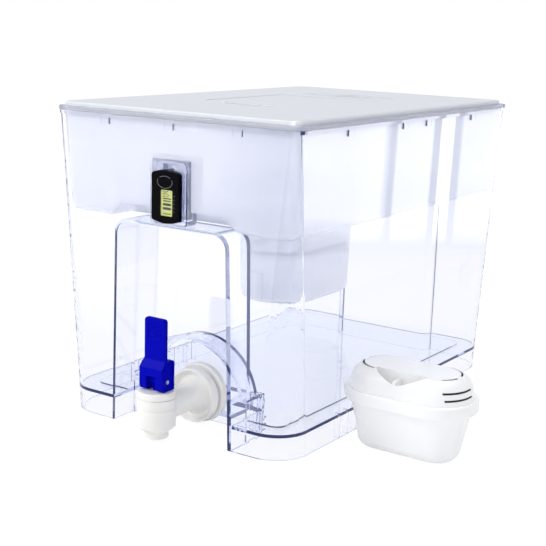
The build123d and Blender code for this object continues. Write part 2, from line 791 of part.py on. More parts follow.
def tap_body():
    """Elbow of the tap: threaded shank, dished flange, neck and upright barrel."""
    flange_back = gasket + collar_thickness + collar_hub
    flange_front = flange_back + tap_flange
    shank_back = -(wall + gasket + nut_thickness + shank_past_nut)
    profile = [(0, shank_back)] + shank_profile(shank_back, -wall) + [
        (shank_radius - thread_depth, gasket), (shank_radius, gasket + thread_depth),
        (shank_radius, flange_back),
        (tap_flange_radius - 0.6, flange_back), (tap_flange_radius, flange_back + 0.6),
        (tap_flange_radius, flange_front - flange_lip / 2),
        (tap_flange_radius - flange_lip / 3, flange_front),
        (tap_flange_radius - flange_lip * 2 / 3, flange_front),
        (tap_flange_radius - flange_lip, flange_front - flange_lip / 2),
        (tap_flange_radius - 1.5 * flange_lip, flange_front - dish_depth),
    ] + flare_profile(flange_front - dish_depth) + [(neck_radius, barrel_reach), (0, barrel_reach)]
    neck = on_shank(turned(*profile))
    barrel = turned(
        (0, barrel_base), (barrel_radius - barrel_chamfer, barrel_base),
        (barrel_radius, barrel_base + barrel_chamfer),
        (barrel_radius, groove_height - groove_width / 2),
        (barrel_radius - groove_depth, groove_height), (barrel_radius, groove_height + groove_width / 2),
        (barrel_radius, bonnet_base), (0, bonnet_base))
    hollow = turned(
        (0, barrel_base - spill), (nozzle_spigot_radius, barrel_base - spill),
        (nozzle_spigot_radius, barrel_base + nozzle_spigot), (seat_radius, barrel_base + nozzle_spigot),
        (seat_radius, seat_height), (chamber_radius, seat_height),
        (chamber_radius, bonnet_base - bonnet_spigot),
        (bonnet_spigot_radius, bonnet_base - bonnet_spigot), (bonnet_spigot_radius, bonnet_base),
        (barrel_radius + bonnet_side_gap, bonnet_base),
        (barrel_radius + bonnet_side_gap, bonnet_top), (0, bonnet_top))
    inlet = on_shank(turned((0, shank_back - spill), (inlet_radius, shank_back - spill),
                            (inlet_radius, barrel_reach), (0, barrel_reach)))
    at_barrel = Pos(0, barrel_y, 0)
    return neck + at_barrel * barrel - inlet - at_barrel * hollow


def lock_nut():
    """Hexagon nut on the shank, inside the tank."""
    corner = nut_flats / 2 / cos(radians(30))
    back = -(wall + gasket + nut_thickness)
    nut = along_z(RegularPolygon(corner, 6), back, back + nut_thickness)
    cone = turned((0, back), (nut_flats / 2 - 0.2, back), (corner, back + 1.4),
                  (corner, back + nut_thickness), (0, back + nut_thickness))
    nut = (nut & cone) - Cylinder(shank_radius + running_fit, beyond)
    return on_shank(nut)


def spout_nozzle():
    """Short outlet nozzle with a spigot in the barrel's bottom."""
    spigot = nozzle_spigot_radius - nozzle_fit
    return Pos(0, barrel_y, 0) * turned(
        (seat_radius, nozzle_bottom), (nozzle_radius - 0.8, nozzle_bottom),
        (nozzle_radius, nozzle_bottom + 0.8), (nozzle_radius, barrel_base), (spigot, barrel_base),
        (spigot, barrel_base + nozzle_spigot - 0.1), (seat_radius, barrel_base + nozzle_spigot - 0.1))


def tap_bonnet():
    """Cap of the barrel: the stem passes through it and the spring presses on it."""
    bore = stem_radius + running_fit
    spigot_low = bonnet_base - bonnet_spigot
    seal_low = bonnet_base + 1.0
    return Pos(0, barrel_y, 0) * turned(
        (bore, spigot_low + bonnet_recess), (bonnet_recess_radius, spigot_low + bonnet_recess),
        (bonnet_recess_radius, spigot_low), (bonnet_spigot_radius - nozzle_fit, spigot_low),
        (bonnet_spigot_radius - nozzle_fit, bonnet_base), (barrel_radius - 0.4, bonnet_base),
        (barrel_radius, bonnet_base + 0.4), (barrel_radius, bonnet_top - bonnet_edge),
        (barrel_radius - bonnet_edge, bonnet_top), (bore, bonnet_top),
        (bore, seal_low + stem_seal_height), (stem_seal_radius, seal_low + stem_seal_height),
        (stem_seal_radius, seal_low), (bore, seal_low))


def stem_seal():
    """Rubber ring in the bonnet, round the stem."""
    low = bonnet_base + 1.0
    bore = stem_radius + running_fit
    return Pos(0, barrel_y, 0) * turned((bore, low), (stem_seal_radius, low),
                                        (stem_seal_radius, low + stem_seal_height),
                                        (bore, low + stem_seal_height))


# ---------------------------------------------------------------- valve and lever
def valve_plug():
    """Rubber plug that closes the seat."""
    return Pos(0, barrel_y, 0) * turned(
        (0, seat_height), (plug_radius, seat_height), (plug_radius, stem_collar_low),
        (stem_foot_radius, stem_collar_low), (stem_foot_radius, seat_height + plug_pocket),
        (0, seat_height + plug_pocket))


def valve_stem():
    """Stem with a foot in the plug, a collar under the spring and a round head for the pin."""
    shaft = turned(
        (0, seat_height + plug_pocket), (stem_foot_radius, seat_height + plug_pocket),
        (stem_foot_radius, stem_collar_low), (stem_collar_radius, stem_collar_low),
        (stem_collar_radius, stem_collar_top), (stem_radius, stem_collar_top),
        (stem_radius, pin_height), (0, pin_height))
    across = Pos(0, 0, pin_height) * Rot(0, 90, 0)
    head = across * Cylinder(stem_head_radius, 2 * stem_head_half)
    hole = across * Cylinder(pin_radius, beyond)
    return Pos(0, barrel_y, 0) * (shaft + head - hole)


def lever_pin():
    """Steel pin through the stem's head and the lever's fork."""
    return Pos(0, barrel_y, pin_height) * Rot(0, 90, 0) * Cylinder(pin_radius,
                                                                  2 * (lever_half - pin_end_gap))


def valve_spring():
    """Coil spring between the stem's collar and the bonnet."""
    low = stem_collar_top + spring_wire
    height = bonnet_base - bonnet_spigot + bonnet_recess - spring_wire - low
    path = Helix(height / spring_turns, height, spring_mean_radius)
    section = Plane(path @ 0, z_dir=path % 0) * Circle(spring_wire)
    return Pos(0, barrel_y, low) * sweep(section, path=path)


def side_view(outline, left, right):
    """Carry an outline seen from the right side through in X: across is +Y, up is Z."""
    plane = Plane((left, 0, 0), x_dir=(0, 1, 0), z_dir=(1, 0, 0))
    return extrude(plane * outline, amount=right - left)


def tap_lever():
    """Lever: a forked block with a cam corner, and a thin upright paddle with grip grooves."""
    half = lever_block_depth / 2
    chest, block_top = lever_base + lever_chest, lever_base + lever_block
    face = -paddle_set_forward
    back = face + paddle_thickness
    neck = block_top + paddle_set_forward / 4
    profile = rounded_outline(
        (-half, lever_base, cam_radius), (half, lever_base, block_edge), (half, block_top, block_edge),
        (back, block_top, block_edge / 2), (back, lever_top, 1.2), (face, lever_top, 1.2),
        (face, neck, 3.0), (-half, chest, 2.0))
    shoulder = lever_base + shoulder_height
    silhouette = rounded_outline(
        (-lever_half, lever_base - spill, 0), (lever_half, lever_base - spill, 0),
        (lever_half, shoulder, 2.5),
        (paddle_half, shoulder + shoulder_slope, 2.5), (paddle_half, lever_top, paddle_corner),
        (-paddle_half, lever_top, paddle_corner), (-paddle_half, shoulder + shoulder_slope, 2.5),
        (-lever_half, shoulder, 2.5))
    body = side_view(profile, -lever_half - spill, lever_half + spill)
    body &= along_y(silhouette, -lever_block_depth, lever_block_depth)
    fork_top = pin_height + stem_head_radius + fork_gap
    fork = box_between(-fork_half, fork_half, -half - spill, half + spill, lever_base - spill, fork_top)
    pin_hole = Pos(0, 0, pin_height) * Rot(0, 90, 0) * Cylinder(pin_radius + running_fit, beyond)
    panel = rounded_outline(
        (cheek_border - half, lever_base + 2 * cheek_border, 1.0),
        (half - cheek_border, lever_base + cheek_border, 1.0),
        (half - cheek_border, shoulder - cheek_border / 2, 1.0),
        (face + spill, shoulder - cheek_border / 2, 1.0),
        (cheek_border - half, chest - cheek_border, 1.0))
    cheeks = [side_view(panel, min(side * (lever_half - cheek_depth), side * (lever_half + spill)),
                        max(side * (lever_half - cheek_depth), side * (lever_half + spill)))
              for side in (-1, 1)]
    grooves = []
    for number in range(grip_grooves):
        place = lever_top - grip_top - number * grip_pitch
        grooves.append(Pos(0, face, place) * Rot(0, 90, 0) * Cylinder(grip_depth, 2 * grip_half))
    return Pos(0, barrel_y, 0) * (body - cheeks - fork - pin_hole - grooves)


# ---------------------------------------------------------------- cartridge
def oval(inset_length, inset_width, corner_cut):
    """The cartridge's plan, stepped in from the lip."""
    return RectangleRounded(cartridge_length - 2 * inset_length, cartridge_width - 2 * inset_width,
                            cartridge_corner - corner_cut)


def body_form(inset, low):
    """The cartridge's tapering cup, stepped in from its outer side."""
    angle = degrees(atan(body_draw_in / lip_base))
    draw = body_draw_in * (1 - low / lip_base)
    plan = Pos(0, 0, low) * oval(body_inset_top + draw + inset, body_inset_width + draw + inset,
                                 body_inset_width + draw + inset)
    form = extrude(plan, amount=lip_base - low, taper=-angle)
    return fillet(form.edges().group_by(Axis.Z)[0], body_edge - inset)


def at_cartridge(solid):
    """Move a piece made about Z to the cartridge's place on the table."""
    return Pos(cartridge_across, cartridge_forward, 0) * solid


def cartridge_body():
    """White cup with a flange under the cap and outlet slots in its bottom."""
    flange = along_z(oval(body_flange_inset, body_flange_inset, body_flange_inset),
                     lip_base - body_flange, lip_base)
    hollow = body_form(body_wall, body_wall)
    slots = [Pos((number - (outlet_slots - 1) / 2) * outlet_pitch, 0, 0)
             * Box(outlet_slot[0], outlet_slot[1], 4 * body_wall) for number in range(outlet_slots)]
    return at_cartridge(body_form(0, 0) + flange - hollow - slots)


def dome_form(inset):
    """The cap's dome, stepped in from its outer side."""
    angle = degrees(atan(dome_draw_in / dome_height))
    low = lip_top - lip_edge - dome_wall
    spread = (lip_top - low) * dome_draw_in / dome_height
    plan = Pos(0, 0, low) * oval(dome_inset + inset - spread, dome_inset + inset - spread,
                                 dome_inset + inset - spread)
    form = extrude(plan, amount=dome_top - inset - low, taper=angle)
    return fillet(form.edges().group_by(Axis.Z)[-1], dome_edge - inset)


def recess_form(grow, low):
    """The half-moon finger recess in the dome's front shoulder."""
    half, reach = grip_recess
    moon = Pos(0, grip_recess_line) * Ellipse(half + grow, reach + grow)
    moon &= Pos(0, grip_recess_line + grow - beyond / 2) * Rectangle(beyond, beyond)
    return along_z(moon, low, dome_top + spill)


def slot_ring(inset, width):
    """An oval band of one width that follows the lip's edge, this far inside it."""
    return oval(inset, inset, inset) - oval(inset + width, inset + width, inset + width)


def slot_piece(ring, reach, low, high):
    """The part of a ring within left, right, front and back limits, between two heights."""
    left, right, front, back = reach
    window = Pos((left + right) / 2, (front + back) / 2) * Rectangle(right - left, back - front)
    return along_z(ring & window, low, high)


def slot_forms():
    """The curved inlet slots: two round each end of the top, and two in one shoulder at each end."""
    top_ring = slot_ring(top_slot_inset, slot_width)
    shoulder_ring = slot_ring(0, top_slot_inset)
    slots = [slot_piece(top_ring, reach, lip_top + dome_height / 2, dome_top + spill)
             for reach in top_slot_reach]
    slots += [slot_piece(shoulder_ring, shoulder_slot_reach, lip_top + rise, lip_top + rise + slot_width)
              for rise in shoulder_slot_rise]
    return slots + [Rot(0, 0, 180) * slot for slot in slots]


def cartridge_cap():
    """White cap: lip, dome, half-moon finger recess with a rib, and inlet slots."""
    lip = along_z(oval(0, 0, 0), lip_base, lip_top)
    lip = fillet(lip.edges().group_by(Axis.Z)[-1], lip_edge)
    inside = dome_form(dome_wall) - recess_form(dome_wall, grip_recess_floor - dome_wall)
    skirt = along_z(oval(body_inset_top - 2.0, body_inset_width, body_inset_width),
                    lip_base - spill, lip_top - lip_edge - dome_wall)
    rib = box_between(grip_rib_place, grip_rib_place + grip_rib, grip_recess_line - grip_recess[1],
                      grip_recess_line + spill, grip_recess_floor - spill,
                      grip_recess_floor + grip_rib_height)
    rib &= dome_form(1.0)
    cap = lip + dome_form(0) - skirt - inside - recess_form(0, grip_recess_floor)
    return at_cartridge(cap + rib - slot_forms())


def inlet_screens():
    """Dark mesh inserts that lie just below the dome's surface in each slot."""
    layer = dome_form(screen_sunk) - dome_form(dome_wall - 0.1) - recess_form(dome_wall, grip_recess_floor)
    pieces = []
    for slot in slot_forms():
        pieces += (layer & slot).solids()
    return [at_cartridge(piece) for piece in pieces]


def media_cover():
    """Perforated cover over the filter media."""
    side = body_inset_width + body_wall + media_gap
    plan = oval(body_inset_top + body_wall + media_gap, side, side)
    plate = along_z(plan, cover_low, cover_low + cover_thickness)
    holes = [place * Cylinder(cover_hole_radius, beyond)
             for place in GridLocations(*cover_hole_pitch, *cover_hole_count)]
    return at_cartridge(plate - holes)


def filter_media():
    """Filter granules, as one block that fills the cup."""
    low = body_wall + media_gap
    form = body_form(body_wall + media_gap, low)
    below_cover = box_between(-beyond, beyond, -beyond, beyond, 0, cover_low - media_gap)
    return at_cartridge(form & below_cover)


# ---------------------------------------------------------------- output
nodes = {
    "tank_shell": tank_shell(),
    "indicator_housing": indicator_housing(),
    "indicator_window": indicator_window(),
    "indicator_display": indicator_display(),
    "indicator_board": indicator_board(),
    "indicator_switch": indicator_switch(),
    "indicator_cell": indicator_cell(),
    "indicator_cover": indicator_cover(),
    "indicator_button": indicator_button(),
    "hopper": hopper(),
    "socket_seal": socket_seal(),
    "lid": lid(),
    "fill_flap": fill_flap(),
    "flap_pins": flap_pins(),
    "tap_body": tap_body(),
    "tap_collar": tap_collar(),
    "outer_gasket": gasket_ring(outer_gasket_radius, 0),
    "inner_gasket": gasket_ring(inner_gasket_radius, -(wall + gasket)),
    "lock_nut": lock_nut(),
    "spout_nozzle": spout_nozzle(),
    "tap_bonnet": tap_bonnet(),
    "stem_seal": stem_seal(),
    "valve_plug": valve_plug(),
    "valve_stem": valve_stem(),
    "valve_spring": valve_spring(),
    "lever_pin": lever_pin(),
    "tap_lever": tap_lever(),
    "cartridge_body": cartridge_body(),
    "cartridge_cap": cartridge_cap(),
    "inlet_screens": inlet_screens(),
    "media_cover": media_cover(),
    "filter_media": filter_media(),
}

os.makedirs("parts", exist_ok=True)
for name, shape in nodes.items():
    solids = shape if isinstance(shape, list) else shape.solids()
    piece = solids[0] if len(solids) == 1 else Compound(children=list(solids))
    export_step(piece, f"parts/{name}.step")
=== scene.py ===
# %% [markdown]
# # A gravity water filter with a lever tap
#
# A clear tank with a lift-out hopper, a white lid, a white tap with a blue lever, a small black
# indicator with a liquid crystal display, and a spare filter cartridge beside the tank. The solid
# model gives every piece its place and size. This lesson dresses those pieces: it gives them soft
# edges, smooth shading and a finish each, and adds what a solid modeller leaves out.

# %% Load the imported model
import bmesh
import bpy
import json
import numpy as np
from math import cos, pi, radians, sin
from mathutils import Matrix, Vector

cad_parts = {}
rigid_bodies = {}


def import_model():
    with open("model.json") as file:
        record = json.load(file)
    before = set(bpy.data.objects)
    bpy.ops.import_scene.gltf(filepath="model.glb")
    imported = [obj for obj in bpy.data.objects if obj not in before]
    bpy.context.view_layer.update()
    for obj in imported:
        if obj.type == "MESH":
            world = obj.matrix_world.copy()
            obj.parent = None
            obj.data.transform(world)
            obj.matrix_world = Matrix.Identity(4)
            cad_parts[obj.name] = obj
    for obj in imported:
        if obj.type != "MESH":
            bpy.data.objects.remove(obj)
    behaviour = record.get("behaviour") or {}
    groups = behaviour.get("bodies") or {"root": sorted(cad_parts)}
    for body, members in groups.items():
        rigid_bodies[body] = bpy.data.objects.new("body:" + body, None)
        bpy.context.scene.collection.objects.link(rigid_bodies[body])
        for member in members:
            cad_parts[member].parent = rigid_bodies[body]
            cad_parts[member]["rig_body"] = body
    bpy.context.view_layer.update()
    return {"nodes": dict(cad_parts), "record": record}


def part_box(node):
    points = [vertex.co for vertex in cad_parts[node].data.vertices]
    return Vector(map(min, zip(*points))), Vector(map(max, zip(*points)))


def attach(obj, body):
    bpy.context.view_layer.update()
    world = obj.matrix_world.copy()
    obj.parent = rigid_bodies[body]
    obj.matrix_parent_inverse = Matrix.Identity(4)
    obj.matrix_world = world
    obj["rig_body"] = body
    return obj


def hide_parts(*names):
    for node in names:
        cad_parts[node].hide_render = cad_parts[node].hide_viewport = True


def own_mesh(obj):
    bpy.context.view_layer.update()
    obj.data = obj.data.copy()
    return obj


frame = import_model()
nodes = frame["nodes"]
mm = 0.001
print("pieces in the solid model:", len(nodes))

# %% [markdown]
# ## Writing shader maths as arithmetic
#
# A material is a net of small nodes. Wiring each Math node by hand hides the formula that it stands
# for. The class below wraps one output socket, so that `1 - mask * 0.3` adds the two Math nodes that
# do it. Every other kind of node comes from one method, `Recipe.add`, which takes the node's type,
# its settings and the values or links of its sockets.

# %% A socket that takes part in arithmetic
class Wire:
    """An output socket of a material. Arithmetic on it adds Math nodes to the material."""

    def __init__(self, recipe, socket):
        self.recipe = recipe
        self.socket = socket

    def math(self, operation, *values):
        """A Math node of that operation on these values."""
        return self.recipe.add("Math", {"operation": operation}, dict(enumerate(values)))

    def __add__(self, other):
        return self.math("ADD", self, other)

    def __rsub__(self, other):
        return self.math("SUBTRACT", other, self)

    def __mul__(self, other):
        return self.math("MULTIPLY", self, other)

    def __truediv__(self, other):
        return self.math("DIVIDE", self, other)

    __radd__ = __add__
    __rmul__ = __mul__

    def clipped(self):
        """The value, held between 0 and 1."""
        return self.recipe.add("Clamp", {}, {"Value": self})


# %% [markdown]
# A recipe holds one net of nodes while it is written: a material's, the world's or a lamp's. Besides
# `add` it has short names for what the finishes below need again and again: a place on the piece,
# smooth random patches, a bump and a tint between two colours.

# %% A recipe that adds nodes
class Recipe:
    """The nodes of a material, of the world or of a lamp, under construction."""

    def __init__(self, name, target=None):
        self.target = target or bpy.data.materials.new(name)
        self.target.use_nodes = True
        self.tree = self.target.node_tree
        self.tree.nodes.clear()

    def add(self, kind, settings, sockets, output=0):
        """Add a node; settings go in first, then values or wires go into its sockets by name."""
        node = self.tree.nodes.new("ShaderNode" + kind)
        for name, value in settings.items():
            if name == "stops":
                ramp = node.color_ramp.elements
                for element, (place, colour) in zip((ramp[0], ramp[1]), value):
                    element.position, element.color = place, colour
                for place, colour in value[2:]:
                    ramp.new(place).color = colour
            else:
                setattr(node, name, value)
        for name, value in sockets.items():
            if isinstance(value, Wire):
                self.tree.links.new(value.socket, node.inputs[name])
            else:
                node.inputs[name].default_value = value
        return Wire(self, node.outputs[output])

    def place(self):
        """Where a point lies on the piece, in metres."""
        return self.add("TexCoord", {}, {}, "Object")

    def speckle(self, size, detail=2.0, stretch=(1, 1, 1)):
        """Smooth random patches about `size` metres across, from 0 to 1."""
        turned = self.add("Mapping", {}, {"Vector": self.place(), "Scale": stretch})
        return self.add("TexNoise", {}, {"Vector": turned, "Scale": 1 / size, "Detail": detail})

    def bump(self, height, depth, strength=1.0):
        """A Bump node for a height field; depth is in metres."""
        return self.add("Bump", {}, {"Height": height, "Distance": depth, "Strength": strength})

    def tint(self, mask, dark, light):
        """A colour between two, by a mask from 0 to 1."""
        return self.add("Mix", {"data_type": "RGBA"}, {"Factor": mask, 6: dark, 7: light}, 2)

    def finish(self, surface, volume=None):
        """Connect the surface, and the volume if there is one, and return the material."""
        sockets = {"Surface": surface}
        if volume:
            sockets["Volume"] = volume
        self.add_output(sockets)
        return self.target

    def add_output(self, sockets):
        """The output node: of a material, of the world, or of a lamp."""
        kind = {bpy.types.World: "OutputWorld", bpy.types.AreaLight: "OutputLight"}.get(
            type(self.target), "OutputMaterial")
        node = self.tree.nodes.new("ShaderNode" + kind)
        for name, value in sockets.items():
            self.tree.links.new(value.socket, node.inputs[name])


# %% [markdown]
# ## The camera
#
# A long lens, a little above the rim and to the right of the tap, shows the front, the right side
# and a thin strip of the lid. The camera's axes are written from three angles, so that its small
# roll stays plain to see.

# %% The camera
camera_place = Vector((0.5465, -0.8509, 0.3219))
camera_yaw, camera_pitch, camera_roll = (radians(a) for a in (33.7467, -12.4052, 1.7618))
ahead = Vector((-sin(camera_yaw) * cos(camera_pitch),
                cos(camera_yaw) * cos(camera_pitch),
                sin(camera_pitch)))
level = Vector((cos(camera_yaw), sin(camera_yaw), 0))
upward = level.cross(ahead)
rightward = level * cos(camera_roll) + upward * sin(camera_roll)
upward = upward * cos(camera_roll) - level * sin(camera_roll)

lens = bpy.data.cameras.new("camera")
lens.lens = 77.737  # millimetres
lens.sensor_width = 36
camera = bpy.data.objects.new("camera", lens)
turn = Matrix((rightward, upward, -ahead)).transposed()
camera.matrix_world = Matrix.Translation(camera_place) @ turn.to_4x4()
bpy.context.scene.collection.objects.link(camera)
bpy.context.scene.camera = camera
print("camera looks along", tuple(round(v, 3) for v in ahead))

# %% [markdown]
# ## Light and floor
#
# Clear plastic is drawn by what surrounds it. White all round would make it vanish, so the rays that
# plastic bends meet a pale lavender horizon and a deep blue overhead: walls stay almost white, and
# edges, which gather light from above, turn navy. The camera itself sees plain white everywhere.
#
# The world's colour can depend on how a ray got there, because Light Path tells a camera ray, a
# mirrored ray and a bent ray apart. A ray can be mirrored and bent at once, so the order of the mixes
# below matters. Lamps can't shine through a refracting wall, so the milky plastic inside the tank
# would stay dark. Rays that leave a matt surface through a clear wall meet a brighter white instead.

# %% The view and how far light is followed
scene = bpy.context.scene
scene.view_settings.view_transform = "Standard"
light_bounces = 24
scene.cycles.max_bounces = light_bounces
scene.cycles.transmission_bounces = light_bounces
scene.cycles.transparent_max_bounces = light_bounces
print("light is followed for", light_bounces, "bounces")

# %% The surroundings
horizon = (0.93, 0.945, 0.972, 1)
world = Recipe("surroundings", bpy.data.worlds.new("surroundings"))
scene.world = world.target
direction = world.add("TexCoord", {}, {}, "Generated")
height = world.add("SeparateXYZ", {}, {"Vector": direction}, "Z")
above_stops = [(0.0, horizon), (0.25, (0.72, 0.77, 0.89, 1)), (0.7, (0.12, 0.18, 0.46, 1)),
               (1.0, (0.05, 0.08, 0.30, 1))]
bent_sky = world.add("ValToRGB", {"stops": above_stops}, {"Fac": height})
mirror_stops = [(0.0, (0.80, 0.82, 0.88, 1)), (0.5, (0.66, 0.69, 0.76, 1)),
                (1.0, (0.60, 0.63, 0.70, 1))]
mirrored_sky = world.add("ValToRGB", {"stops": mirror_stops}, {"Fac": height})
ambient = world.add("Background", {}, {"Color": (0.97, 0.978, 1.0, 1), "Strength": 0.70})
bent = world.add("Background", {}, {"Color": bent_sky, "Strength": 1.0})
mirrored = world.add("Background", {}, {"Color": mirrored_sky, "Strength": 1.0})
plain_white = world.add("Background", {}, {"Color": (1, 1, 1, 1), "Strength": 1.0})
is_camera = world.add("LightPath", {}, {}, "Is Camera Ray")
is_glossy = world.add("LightPath", {}, {}, "Is Glossy Ray")
is_through = world.add("LightPath", {}, {}, "Is Transmission Ray")
from_matt = world.add("LightPath", {}, {}, "Diffuse Depth").clipped()
inside_light = world.add("Background", {}, {"Color": (1.0, 1.0, 0.99, 1), "Strength": 2.75})
through = world.add("MixShader", {}, {"Fac": from_matt, 1: bent, 2: inside_light})
around = world.add("MixShader", {}, {"Fac": is_glossy, 1: ambient, 2: mirrored})
around = world.add("MixShader", {}, {"Fac": is_through, 1: around, 2: through})
world.finish(world.add("MixShader", {}, {"Fac": is_camera, 1: around, 2: plain_white}))
print("nodes in the world:", len(world.tree.nodes))

# %% [markdown]
# Soft lamps model the white pieces: a strong one on the left, a weak one in front and one overhead.
# A fourth, low one lights only the lid, whose bevelled edge shows as a bright line all round.

# %% Soft lamps
def soft_lamp(name, place, aim, size, power):
    """A square lamp at one point that faces another."""
    light = bpy.data.lights.new(name, "AREA")
    light.energy = power
    light.size = size
    lamp = bpy.data.objects.new(name, light)
    lamp.location = place
    lamp.rotation_euler = (Vector(aim) - Vector(place)).to_track_quat("-Z", "Y").to_euler()
    lamp.visible_transmission = False
    scene.collection.objects.link(lamp)
    return lamp


middle = (0, 0, 0.12)
lid_height = (0, 0, 0.25)
top_pieces = bpy.data.collections.new("top_pieces")
soft_lamp("lamp_left", (-1.5, -1.6, 1.5), middle, 1.2, 26)
soft_lamp("lamp_front", (0.9, -2.2, 0.9), middle, 0.8, 3)
soft_lamp("lamp_top", (0.2, 0.3, 2.2), middle, 1.4, 14)
rim_lamp = soft_lamp("lamp_rim", (0.9, -1.6, 0.1), lid_height, 0.8, 22)
rim_lamp.light_linking.receiver_collection = top_pieces
print("soft lamps:", len(bpy.data.lights))

# %% [markdown]
# The bright upright bands on the walls are mirror images of light panels, which stand on the table
# in front of the tank and to its right. Panels are area lamps that only glossy rays can see and
# only the tank receives, so they draw the bands and light nothing else. Each one is given by its two
# feet on the table, its height, its brightness and how softly it fades at its edges.

# %% Light panels
mirroring = bpy.data.collections.new("mirroring")


def light_panel(name, left_foot, right_foot, high, brightness, side_fade, foot_fade):
    """An upright panel over a line on the table, which shines to the object's side of that line.

    Its brightness rises from 0 at each side edge over side_fade of its width, and from 0 at the
    table over foot_fade of its height, as the Parametric coordinates of a lamp give them.
    """
    left, right = Vector(left_foot + (0,)), Vector(right_foot + (0,))
    width = (right - left).length
    light = bpy.data.lights.new(name, "AREA")
    light.shape = "RECTANGLE"
    light.size = width
    light.size_y = high
    light.energy = brightness * pi * width * high
    glow = Recipe(name, light)
    spot = glow.add("NewGeometry", {}, {}, "Parametric")
    along = glow.add("SeparateXYZ", {}, {"Vector": spot}, "X")
    above = glow.add("SeparateXYZ", {}, {"Vector": spot}, "Y")
    fade = (along / side_fade).clipped() * ((1 - along) / side_fade).clipped()
    fade = fade * (above / foot_fade).clipped()
    glow.finish(glow.add("Emission", {}, {"Color": (1, 1, 1, 1), "Strength": fade}))
    panel = bpy.data.objects.new(name, light)
    across, up = (left - right).normalized(), Vector((0, 0, 1))
    turn = Matrix((across, up, across.cross(up))).transposed()
    panel_middle = (left + right) / 2 + Vector((0, 0, high / 2))
    panel.matrix_world = Matrix.Translation(panel_middle) @ turn.to_4x4()
    panel.visible_camera = panel.visible_diffuse = panel.visible_transmission = False
    panel.light_linking.receiver_collection = mirroring
    scene.collection.objects.link(panel)


# %% The panels' places
panel_line_start = Vector((0.60, 0.43))
panel_line_end = Vector((0.33, 0.70))
panel_spans = [  # where each panel starts and ends along that line, as shares, and its brightness
    (0.12, 0.575, 3.2), (0.588, 0.735, 2.6), (0.755, 0.81, 3.2), (0.83, 1.02, 2.0), (1.3, 1.9, 1.6)]
side_panel_height, front_panel_height = 0.4, 0.34
for number, (near, far, brightness) in enumerate(panel_spans):
    feet = [tuple(panel_line_start.lerp(panel_line_end, share)) for share in (near, far)]
    light_panel(f"side_panel_{number}", feet[1], feet[0], side_panel_height, brightness, 0.07, 0.1)
light_panel("front_panel", (0.02, -0.33), (-0.60, -0.33), front_panel_height, 3.5, 0.16, 0.35)
print("light panels:", len(panel_spans) + 1)

# %% [markdown]
# The floor is one large sheet. To the camera it is white and keeps a faint shadow. To rays that the
# plastic bends or mirrors it is white near the object and lavender further off, which gives the
# walls their soft falling-off towards the top. Rays that come from the milky plastic inside the tank
# see it brighter, as they do the world.

# %% The floor
floor_half = 4.0
floor_drop = 0.0004
floor_mesh = bpy.data.meshes.new("floor")
floor_mesh.from_pydata([(-floor_half, -floor_half, 0), (floor_half, -floor_half, 0),
                        (floor_half, floor_half, 0), (-floor_half, floor_half, 0)], [], [(0, 1, 2, 3)])
floor = bpy.data.objects.new("floor", floor_mesh)
floor.location.z = -floor_drop
scene.collection.objects.link(floor)
print("floor:", 2 * floor_half, "m square")

# %% The floor's finish
floor_fade_distance = 1.6
glow_share = 0.85  # the rest is left to the plain paper, which keeps the shadow
ground = Recipe("floor")
paper = ground.add("BsdfDiffuse", {}, {"Color": (0.93, 0.93, 0.94, 1)})
white_glow = ground.add("Emission", {}, {"Color": (1, 1, 1, 1), "Strength": 1.08})
from_middle = ground.add("VectorMath", {"operation": "LENGTH"}, {0: ground.place()}, "Value")
floor_stops = [(0.0, (1.0, 1.0, 1.0, 1)), (0.32, (0.98, 0.985, 1.0, 1)),
               (0.75, (0.84, 0.86, 0.93, 1)), (1.0, horizon)]
far_off = (from_middle / floor_fade_distance).clipped()
seen_floor = ground.add("ValToRGB", {"stops": floor_stops}, {"Fac": far_off})
seen_glow = ground.add("Emission", {}, {"Color": seen_floor, "Strength": 1.0})
lifted_glow = ground.add("Emission", {}, {"Color": (1, 1, 0.99, 1), "Strength": 2.3})
from_matt = ground.add("LightPath", {}, {}, "Diffuse Depth").clipped()
seen_glow = ground.add("MixShader", {}, {"Fac": from_matt, 1: seen_glow, 2: lifted_glow})
to_camera = ground.add("LightPath", {}, {}, "Is Camera Ray")
to_plastic = (ground.add("LightPath", {}, {}, "Is Glossy Ray")
              + ground.add("LightPath", {}, {}, "Is Transmission Ray")).clipped()
paper = ground.add("MixShader", {}, {"Fac": to_camera * glow_share, 1: paper, 2: white_glow})
paper = ground.add("MixShader", {}, {"Fac": to_plastic * glow_share, 1: paper, 2: seen_glow})
floor_mesh.materials.append(ground.finish(paper))
print("nodes in the floor's finish:", len(ground.tree.nodes))


# %% [markdown]
# ## Clear plastic
#
# The tank and the hopper are moulded in a clear plastic with a faint blue cast. Across a wall it is
# almost colourless, but along a rim or an edge light crosses centimetres of it and comes out navy.
# A plain transparent shader can't do that. A refracting surface with an absorbing volume inside does
# both with one colour and one density. Light that is caught for good between two faces would come
# out black, where the real plastic scatters a little of it back, so that light is painted in: the
# surface is given a faint blue painted glow. The hopper scatters more, so it takes a share of
# milky diffuse plastic.

# %% Clear plastics
wave_size = 0.055
wave_stretch = (1, 1, 0.35)  # waves run upwards, the way the plastic flows in the mould
milky_white, no_tint = (0.96, 0.967, 0.99, 1), (1, 1, 1, 1)


